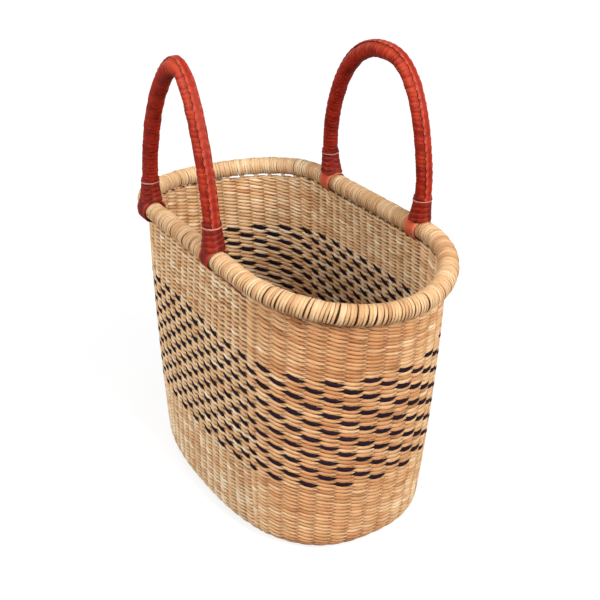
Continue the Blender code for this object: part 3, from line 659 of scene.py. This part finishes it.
def arch(handle, count):
    """Evenly spaced points of a handle's centre line, from its near foot to its far one."""
    angle = np.linspace(0, math.pi, 2001)
    power = 2 / handle["squareness"]
    height = handle["height"] * np.sin(angle).clip(0) ** power
    swell = np.sin(math.pi / 2 * np.minimum(height / handle["belly_height"], 1))
    spread = handle["foot"] + (handle["belly"] - handle["foot"]) * swell
    x = spread * np.sign(np.cos(angle)) * np.abs(np.cos(angle)) ** power
    x += handle["lean"] * (height / handle["height"]) ** LEAN_POWER
    fine = np.stack([x, np.zeros(len(x)), height], 1)
    length = np.concatenate([[0], np.cumsum(np.linalg.norm(np.diff(fine, axis=0), axis=1))])
    wanted = np.linspace(0, length[-1], count)
    return np.stack([np.interp(wanted, length, fine[:, k]) for k in range(3)], 1), wanted


def arch_directions(route):
    """Outward in the arch's plane, and sideways, along its centre line."""
    ahead = np.gradient(route, axis=0)
    ahead /= np.linalg.norm(ahead, axis=1)[:, None]
    outward = np.stack([ahead[:, 2], np.zeros(len(route)), -ahead[:, 0]], 1)
    return outward, np.cross(ahead, outward)


def to_row(points, matrix):
    """Points of a handle's own frame in the basket's frame."""
    return points @ matrix[:3, :3].T + matrix[:3, 3]


def ripple(length, pitch, angle, slant, seed):
    """Where each turn of leather stands proud: 0 just past an edge, rising to 1 at the next."""
    local = np.random.default_rng(seed)
    knots = np.linspace(length.min(), length.max(), 60)
    uneven = np.interp(length, knots, local.normal(0, 0.18, 60))
    turns = np.cumsum(np.gradient(length) / pitch)[:, None] + uneven[:, None]
    phase = turns + slant * np.cos(angle)[None, :] + 0.10 * np.sin(2 * angle + turns * 2.1)
    return phase - np.floor(phase), np.floor(phase)


SLEEVE_STEP = 0.0009
SLEEVE_SIDES = 28
SLEEVE_FOOT = 0.0135


def build_sleeve(side_name, handle, matrix, seed):
    """Leather wound over the core: overlapping turns, creased on the inside of the curve, with painted shade in the
    creases, beside the flap and under the arch, and painted light near its top.
    """
    route, length = arch(handle, 2000)
    keep = route[:, 2] > SLEEVE_FOOT
    route, length = route[keep], length[keep]
    count = int((length[-1] - length[0]) / SLEEVE_STEP)
    wanted = np.linspace(length[0], length[-1], count)
    route = np.stack([np.interp(wanted, length, route[:, k]) for k in range(3)], 1)
    outward, sideways = arch_directions(route)
    angle = np.arange(SLEEVE_SIDES) * math.tau / SLEEVE_SIDES
    share = (wanted - wanted[0]) / (wanted[-1] - wanted[0])
    pitch = np.interp(share, [0, 0.3, 0.55, 0.75, 1], [0.0042, 0.0050, 0.0058, 0.0050, 0.0044])
    edge, turn_index = ripple(wanted, pitch, angle, 0.35, seed)
    local = np.random.default_rng(seed + 1)
    bold = np.interp(share, [0, 0.3, 0.6, 0.8, 1], [0.00012, 0.00010, 0.00022, 0.00050, 0.00050])[:, None]
    fold = np.interp(share, [0, 0.3, 0.6, 0.8, 1], [0.45, 0.25, 0.4, 0.8, 0.8])[:, None]
    # Painted shade in the groove beside the flap.
    beside_flap = np.clip(1 - np.abs(np.abs((angle + math.pi) % math.tau - math.pi) - 0.58) / 0.20, 0, 1)[None, :]
    groove = beside_flap * np.clip(0.75 + wander(count, 12, 0.3), 0.3, 1)[:, None]
    height_of_turn = local.normal(0, 0.00016, 400)[(turn_index.astype(int) + 100) % 400]
    proud = bold * (np.minimum(edge * 1.15, 1) ** 0.8 - 0.5 - 0.9 * np.clip((edge - 0.9) / 0.1, 0, 1))
    inner = np.clip(-np.cos(angle), 0, 1)[None, :]
    crumple = 0.00022 * inner * np.sin(math.tau * wanted / 0.0037 + local.normal(0, 0.6, count).cumsum() * 0.25)[:, None]
    lumps = 0.00018 * np.sin(wanted / 0.011 * 2 + 3 * np.sin(wanted / 0.023))[:, None] * np.cos(angle + 1)[None, :]
    radius = SLEEVE_RADIUS + proud + crumple + lumps + height_of_turn
    ring = (route[:, None] + outward[:, None] * (radius * np.cos(angle))[:, :, None]
            + sideways[:, None] * (radius * np.sin(angle))[:, :, None])
    # Painted shade in the crease at each turn's edge.
    crease = (np.clip(1 - edge / 0.14, 0, 1) + np.clip((edge - 0.93) / 0.07, 0, 1) * 0.6) * fold
    # Wear: paler towards each turn's edge, differing from turn to turn.
    wear_and_painted_light = np.clip(0.45 + 0.4 * edge + local.normal(0, 0.12, 400)[(turn_index.astype(int) + 50) % 400], 0, 1)
    # Painted shade on the inside of the curve, and painted light near the arch's top.
    wear_and_painted_light = wear_and_painted_light - 0.3 * np.clip(math.cos(0.9) - np.cos(angle), 0, 1)[None, :]
    wear_and_painted_light = np.clip(wear_and_painted_light + 0.30 * np.exp(-((share - 0.42) / 0.14) ** 2)[:, None], 0, 1)
    tones = np.stack([np.clip(np.maximum(crease, groove), 0, 1), wear_and_painted_light, np.zeros_like(wear_and_painted_light)], 2)
    weaver = Weaver()
    weaver.lay(to_row(ring.reshape(-1, 3), matrix).reshape(ring.shape), tones)
    return place(weaver.make(side_name + "_leather_sleeve", red_leather), side_name + "_handle", "red_leather",
                 (side_name + "_handle_leather",))


def build_flap(side_name, handle, matrix, seed):
    """The sleeve's folded seam along the outer curve, its edges drawn into scallops by the stitching, with painted
    shade along them.
    """
    route, length = arch(handle, 2000)
    keep = route[:, 2] > CUFF_HEIGHT - 0.006
    route, length = route[keep], length[keep]
    wanted = np.arange(length[0], length[-1], 0.0011)
    route = np.stack([np.interp(wanted, length, route[:, k]) for k in range(3)], 1)
    outward, sideways = arch_directions(route)
    local = np.random.default_rng(seed)
    scallop = np.abs(np.sin(math.pi * wanted / 0.0085))
    half = 0.0038 + 0.0005 * scallop + np.interp(np.arange(len(wanted)), np.arange(0, len(wanted), 12),
                                                   local.normal(0, 0.00018, len(range(0, len(wanted), 12))))
    crown = 0.0102 + 0.0004 * scallop
    section = np.array([(-0.8, 0.0), (-1.0, 0.42), (-0.96, 0.78), (-0.72, 0.98), (-0.35, 0.86), (0.0, 0.80),
                        (0.35, 0.86), (0.72, 0.98), (0.96, 0.78), (1.0, 0.42), (0.8, 0.0)])
    low = 0.0079
    across = section[:, 0][None, :] * half[:, None]
    up = low + section[:, 1][None, :] * (crown - low)[:, None] - across ** 2 / (2 * SLEEVE_RADIUS)
    ring = route[:, None] + outward[:, None] * up[:, :, None] + sideways[:, None] * across[:, :, None]
    # Painted shade along both edges, where the flap meets the sleeve; ridges paler from wear and painted highlights.
    dark = np.array([1.0, 0.75, 0.25, 0.0, 0.12, 0.3, 0.12, 0.0, 0.25, 0.75, 1.0])[None, :] * np.ones((len(wanted), 1))
    wear_and_painted_light = np.clip(np.array([0.2, 0.5, 0.95, 1.0, 0.6, 0.5, 0.6, 1.0, 0.95, 0.5, 0.2])[None, :]
                   - 0.25 * (1 - scallop)[:, None] + local.normal(0, 0.06, (len(wanted), 1)), 0, 1)
    weaver = Weaver()
    tones = np.stack([dark, wear_and_painted_light, np.zeros_like(wear_and_painted_light)], 2)
    weaver.lay(to_row(ring.reshape(-1, 3), matrix).reshape(ring.shape), tones)
    flap = place(weaver.make(side_name + "_stitched_flap", flap_leather), side_name + "_handle", "red_leather",
                 (side_name + "_handle_spine",))
    build_stitches(side_name, route, outward, sideways, wanted, half, matrix)
    return flap


def build_stitches(side_name, route, outward, sideways, wanted, half, matrix):
    """Pale stitches that lace both edges of the flap."""
    weaver = Weaver()
    for way in (-1, 1):
        places = np.arange(wanted[0] + 0.004, wanted[-1] - 0.004, 0.0085) + (0.002 if way > 0 else 0)
        for spot in places:
            along = spot + np.linspace(-0.0021, 0.0021, 5)
            at = lambda field: np.stack([np.interp(along, wanted, field[:, k]) for k in range(3)], 1)
            lift = 0.0098 + 0.0004 * np.cos(np.linspace(-1.4, 1.4, 5))
            lean = way * (np.interp(spot, wanted, half) - 0.0002 + np.linspace(-0.0006, 0.0004, 5))
            path = at(route) + at(outward) * (lift - 0.0011)[:, None] + at(sideways) * lean[:, None]
            size = 0.00026 * np.array([0.5, 1, 1.1, 1, 0.5]) * chance.uniform(0.5, 1.1)
            weaver.sweep(to_row(path, matrix), at(outward) @ matrix[:3, :3].T, size, size, (0, 0, 0), sides=5)
    return place(weaver.make(side_name + "_flap_stitches", pale_thread), side_name + "_handle", "pale_thread")


def leg_line(handle, foot, heights):
    """Centre of one leg at given heights above the hinge."""
    route, _ = arch(handle, 2000)
    half = route[:900] if foot > 0 else route[:-900:-1]
    x = np.interp(heights, half[:, 2], half[:, 0])
    return np.stack([x, np.zeros(len(x)), heights], 1)


CUFF_SIDES = 32
CUFF_STEPS = 44
CUFF_TOP_RADIUS = 0.0094
CUFF_SEAT = 0.0106


def build_cuff(name, handle, foot, matrix, body, seed):
    """The leather cuff round a leg's end: wound tight at the top, spread and folded where it sits on its loop, with
    painted shade in its creases, fold hollows and open top.
    """
    loop_outer = handle["loop_radii"][0 if foot < 0 else 1] + LOOP_THICKNESS
    angle = np.arange(CUFF_SIDES) * math.tau / CUFF_SIDES
    local = np.random.default_rng(seed)
    rings, tones = [], []
    folds = 0.5 + 0.5 * np.sin(7 * angle + local.uniform(0, 6)) * np.sin(3 * angle + local.uniform(0, 6))
    for step in range(CUFF_STEPS + 1):
        share = step / CUFF_STEPS
        flare = 0.0021 * (1 - share) ** 1.5
        turns = share * 4.6 + 0.45 * np.cos(angle + seed) + 0.18 * np.sin(3 * angle + seed)
        wrap = 0.00050 * (turns % 1.0)
        radius = CUFF_TOP_RADIUS + flare + wrap + 0.0008 * folds * (1 - share) ** 2
        y = radius * np.sin(angle)
        saddle = np.sqrt(np.maximum(loop_outer ** 2 - y ** 2, 0)) + 0.0003
        seat = np.maximum(saddle, CUFF_SEAT + 0.0008 * folds) - 0.0006 * (1 - share)
        height = seat + (CUFF_HEIGHT - seat) * share
        centre = leg_line(handle, foot, height)
        x = radius * np.cos(angle) * (1 + 0.10 * (1 - share) ** 3)
        rings.append(np.stack([centre[:, 0] + x, y, height], 1))
        # Painted shade in the crease at each turn's edge and in the fold hollows low down.
        crease = 0.8 * np.clip(1.2 - (turns % 1.0) / 0.14, 0, 1)
        tones.append(np.stack([np.maximum(crease, (1 - folds) * (1 - share) ** 2 * 0.6),
                               0.45 + 0.3 * folds * (1 - share) + 0.35 * (turns % 1.0)
                               + local.normal(0, 0.05, CUFF_SIDES), 0 * angle], 1))
    for depth in (0.0007, 0.004):
        inner = rings[-1].copy()
        centre = leg_line(handle, foot, np.full(CUFF_SIDES, CUFF_HEIGHT - depth + 0.0007))
        inner[:, :2] = centre[:, :2] + (inner[:, :2] - centre[:, :2]) * (0.88 if depth < 0.001 else 0.8)
        inner[:, 2] = CUFF_HEIGHT - depth + 0.0007
        rings.append(inner)
        # Painted shade inside the cuff's open top.
        tones.append(np.stack([np.full(CUFF_SIDES, 0.8), np.full(CUFF_SIDES, 0.3), 0 * angle], 1))
    ring = np.array(rings)[:, ::-1] if foot < 0 else np.array(rings)
    weaver = Weaver()
    weaver.lay(to_row(ring.reshape(-1, 3), matrix).reshape(ring.shape), np.array(tones))
    return place(weaver.make(name + "_cuff_leather", maroon_leather), body, "maroon_leather", (name + "_cuff",))


LOOP_STEPS = 48
LOOP_INNER_MOST = 0.0113


def build_loop(name, handle, foot, look, slot_name, matrix, hinge_half, body, seed):
    """The leather band round the rim, broad under the cuff and narrower below, with soft edges and painted shade on its
    inner face.
    """
    outer = handle["loop_radii"][0 if foot < 0 else 1] + LOOP_THICKNESS
    inner = min(outer - LOOP_THICKNESS, LOOP_INNER_MOST)
    local = np.random.default_rng(seed)
    section = [(-1.0, 0.45), (-0.93, 1.0), (-0.55, 1.08), (0.0, 1.02), (0.55, 1.08), (0.93, 1.0), (1.0, 0.45),
               (0.93, 0.0), (0.0, 0.0), (-0.93, 0.0)]
    wave = local.uniform(0, 6, 3)
    rings, tones = [], []
    for step in range(LOOP_STEPS):
        angle = math.tau * step / LOOP_STEPS
        top = 0.5 + 0.5 * math.sin(angle)
        half = 0.0077 + 0.0044 * top ** 2 + 0.0003 * math.sin(3 * angle + wave[0])
        shift = 0.0006 * math.sin(2 * angle + wave[1])
        ring, tone = [], []
        for across, out in section:
            crinkle = 0.00018 * math.sin(5 * across + 9 * angle + wave[2]) if out > 0.9 else 0
            radius = inner + (outer - inner) * out + crinkle
            ring.append((foot * hinge_half + half * across + shift, radius * math.cos(angle), radius * math.sin(angle)))
            # Painted shade on the inner face against the rim and along the edges.
            tone.append((0.7 if out < 0.3 else 0.25 if out < 0.6 else 0.0, 0.45 + 0.45 * abs(across), 0))
        rings.append(ring)
        tones.append(tone)
    ring = np.array(rings)
    weaver = Weaver()
    weaver.lay(to_row(ring.reshape(-1, 3), matrix).reshape(ring.shape), np.array(tones), closed=True)
    return place(weaver.make(name + "_loop_leather", look), body, slot_name, (name + "_loop",))


def build_thread(name, handle, foot, matrix, body, seed):
    """Thread wound about two and a half times round a cuff."""
    local = np.random.default_rng(seed)
    turns = 2.6
    angle = np.linspace(0, math.tau * turns, 90) + local.uniform(0, 6)
    height = CUFF_HEIGHT - 0.0035 - 0.0012 * np.arange(90) / 90 + 0.0003 * np.sin(angle)
    centre = leg_line(handle, foot, height)
    radius = CUFF_TOP_RADIUS + 0.0008
    path = centre + np.stack([radius * np.cos(angle), radius * np.sin(angle), np.zeros(90)], 1)
    facing = np.stack([np.cos(angle), np.sin(angle), np.zeros(90)], 1)
    weaver = Weaver()
    weaver.sweep(to_row(path, matrix), facing @ matrix[:3, :3].T, 0.00030, 0.00032, (0, 0, 0), sides=6)
    return place(weaver.make(name + "_thread_tie", pale_thread), body, "pale_thread", (name + "_thread",))


def build_handle(side_name, handle, loop_look, loop_slot, seed):
    """A handle with its cuffs, threads and loops."""
    matrix, hinge_half = hinge_matrix(handle)
    body = side_name + "_handle"
    build_sleeve(side_name, handle, matrix, seed)
    build_flap(side_name, handle, matrix, seed + 10)
    for foot, foot_name in ((-1, "_far"), (1, "_near")):
        name = side_name + foot_name
        build_cuff(name, handle, foot, matrix, body, seed + 20 + foot)
        build_loop(name, handle, foot, loop_look, loop_slot, matrix, hinge_half, body, seed + 30 + foot)
        build_thread(name, handle, foot, matrix, body, seed + 40 + foot)


def build_thong():
    """The end of the near left loop's thong, tucked along under the rim, darkened with painted shade that also stands
    for the rim's shadow line.
    """
    stake = np.linspace(9.7, 13.6, 60)
    depth = np.interp(stake, [9.7, 10.2, 11.5, 13.0, 13.6], [-0.0012, 0.0010, 0.0006, 0.0014, 0.0035])
    path, facing = shell(stake, depth, -0.0010)
    weaver = Weaver()
    thin_out = np.interp(stake, [9.7, 13.0, 13.6], [1, 0.8, 0.3])
    # Painted shade: the thong is darkened where the rim's shadow falls.
    weaver.sweep(path, facing, 0.0010 * thin_out, 0.0013 * thin_out, (0.55, 0.2, 0), sides=6)
    place(weaver.make("loop_thong_end", maroon_leather), "basket", "maroon_leather")


# Floor, light and camera

def build_stage():
    """A white floor that keeps the basket's shadow, and a white surround."""
    bpy.ops.object.select_all(action="DESELECT")
    bpy.ops.mesh.primitive_plane_add(size=12, location=(0, 0, -0.0004))
    floor = bpy.context.object
    floor.name = "floor"
    look, tree, shader = tree_of("floor_white")
    shader.inputs["Base Color"].default_value = (0.9, 0.9, 0.9, 1)
    shader.inputs["Roughness"].default_value = 0.9
    glow = add(tree, "Emission", {"Color": (1, 1, 1, 1), "Strength": 1.08})
    where = add(tree, "TexCoord")
    far_off = add(tree, "VectorMath", {0: where.outputs["Object"]}, operation="LENGTH")
    blend = add(tree, "MixShader", {0: reach(tree, far_off.outputs["Value"], 0.35, 1.1, 0.70, 1.0)})
    tree.links.new(shader.outputs[0], blend.inputs[1])
    tree.links.new(glow.outputs[0], blend.inputs[2])
    rays = add(tree, "LightPath")
    bounce = add(tree, "BsdfDiffuse", {"Color": (0.35, 0.35, 0.35, 1)})
    final = add(tree, "MixShader", {0: rays.outputs["Is Camera Ray"]})
    tree.links.new(bounce.outputs[0], final.inputs[1])
    tree.links.new(blend.outputs[0], final.inputs[2])
    tree.links.new(final.outputs[0], tree.nodes["Material Output"].inputs["Surface"])
    floor.data.materials.append(look)
    world = bpy.data.worlds.new("surround")
    bpy.context.scene.world = world
    world.use_nodes = True
    tree = world.node_tree
    seen = add(tree, "LightPath")
    direct = add(tree, "Math", {0: seen.outputs["Is Camera Ray"], 1: seen.outputs["Is Glossy Ray"]}, operation="MAXIMUM")
    strength = reach(tree, direct.outputs[0], 0, 1, 0.28, 1.0)
    tree.nodes["Background"].inputs["Color"].default_value = (1, 1, 1, 1)
    tree.links.new(strength, tree.nodes["Background"].inputs["Strength"])


def soft_lamp(name, place_at, size, power, target=(0, 0, 0.2)):
    """A square soft lamp aimed at the basket."""
    lamp = bpy.data.lights.new(name, "AREA")
    lamp.size, lamp.energy = size, power
    obj = bpy.data.objects.new(name, lamp)
    obj.location = place_at
    obj.rotation_euler = (Vector(target) - Vector(place_at)).to_track_quat("-Z", "Y").to_euler()
    bpy.context.scene.collection.objects.link(obj)


def build_light():
    """A large soft key beyond the near end, a weaker fill on the left and one from above."""
    soft_lamp("key", (2.25, 0.42, 1.75), 1.1, 91)
    soft_lamp("fill", (0.0, -2.4, 1.75), 1.4, 66)
    soft_lamp("top", (0.1, -0.3, 2.4), 1.0, 10)


def build_camera():
    """The photograph's camera."""
    azimuth, elevation, roll = (math.radians(a) for a in (57.7245, 27.735, 0.2502))
    slide_right, slide_up, distance, pivot = -0.01428, -0.080835, 1.168495, 0.1275
    back = Vector((math.sin(azimuth) * math.cos(elevation), -math.cos(azimuth) * math.cos(elevation),
                   math.sin(elevation)))
    right = Vector((math.cos(azimuth), math.sin(azimuth), 0))
    up = back.cross(right)
    right, up = (right * math.cos(roll) + up * math.sin(roll), up * math.cos(roll) - right * math.sin(roll))
    lens = bpy.data.cameras.new("camera")
    lens.lens, lens.sensor_width = 60, 36
    lens.clip_start, lens.clip_end = 0.01, 50
    camera = bpy.data.objects.new("camera", lens)
    bpy.context.scene.collection.objects.link(camera)
    spot = -right * slide_right - up * slide_up + back * distance + Vector((0, 0, pivot))
    camera.matrix_world = Matrix.Translation(spot) @ Matrix((right, up, back)).transposed().to_4x4()
    bpy.context.scene.camera = camera


build_stage()
build_light()
build_camera()
build_weave()
build_stakes()
build_rim()
build_thong()
build_handle("left", LEFT_HANDLE, maroon_leather, "maroon_leather", 100)
build_handle("right", RIGHT_HANDLE, terracotta_leather, "terracotta_leather", 200)
for node_name in ("rim_core", "left_handle_core", "right_handle_core"):
    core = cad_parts[node_name]
    core.data.materials.clear()
    core.data.materials.append(core_grass)
bpy.context.scene.view_settings.view_transform = "Standard"
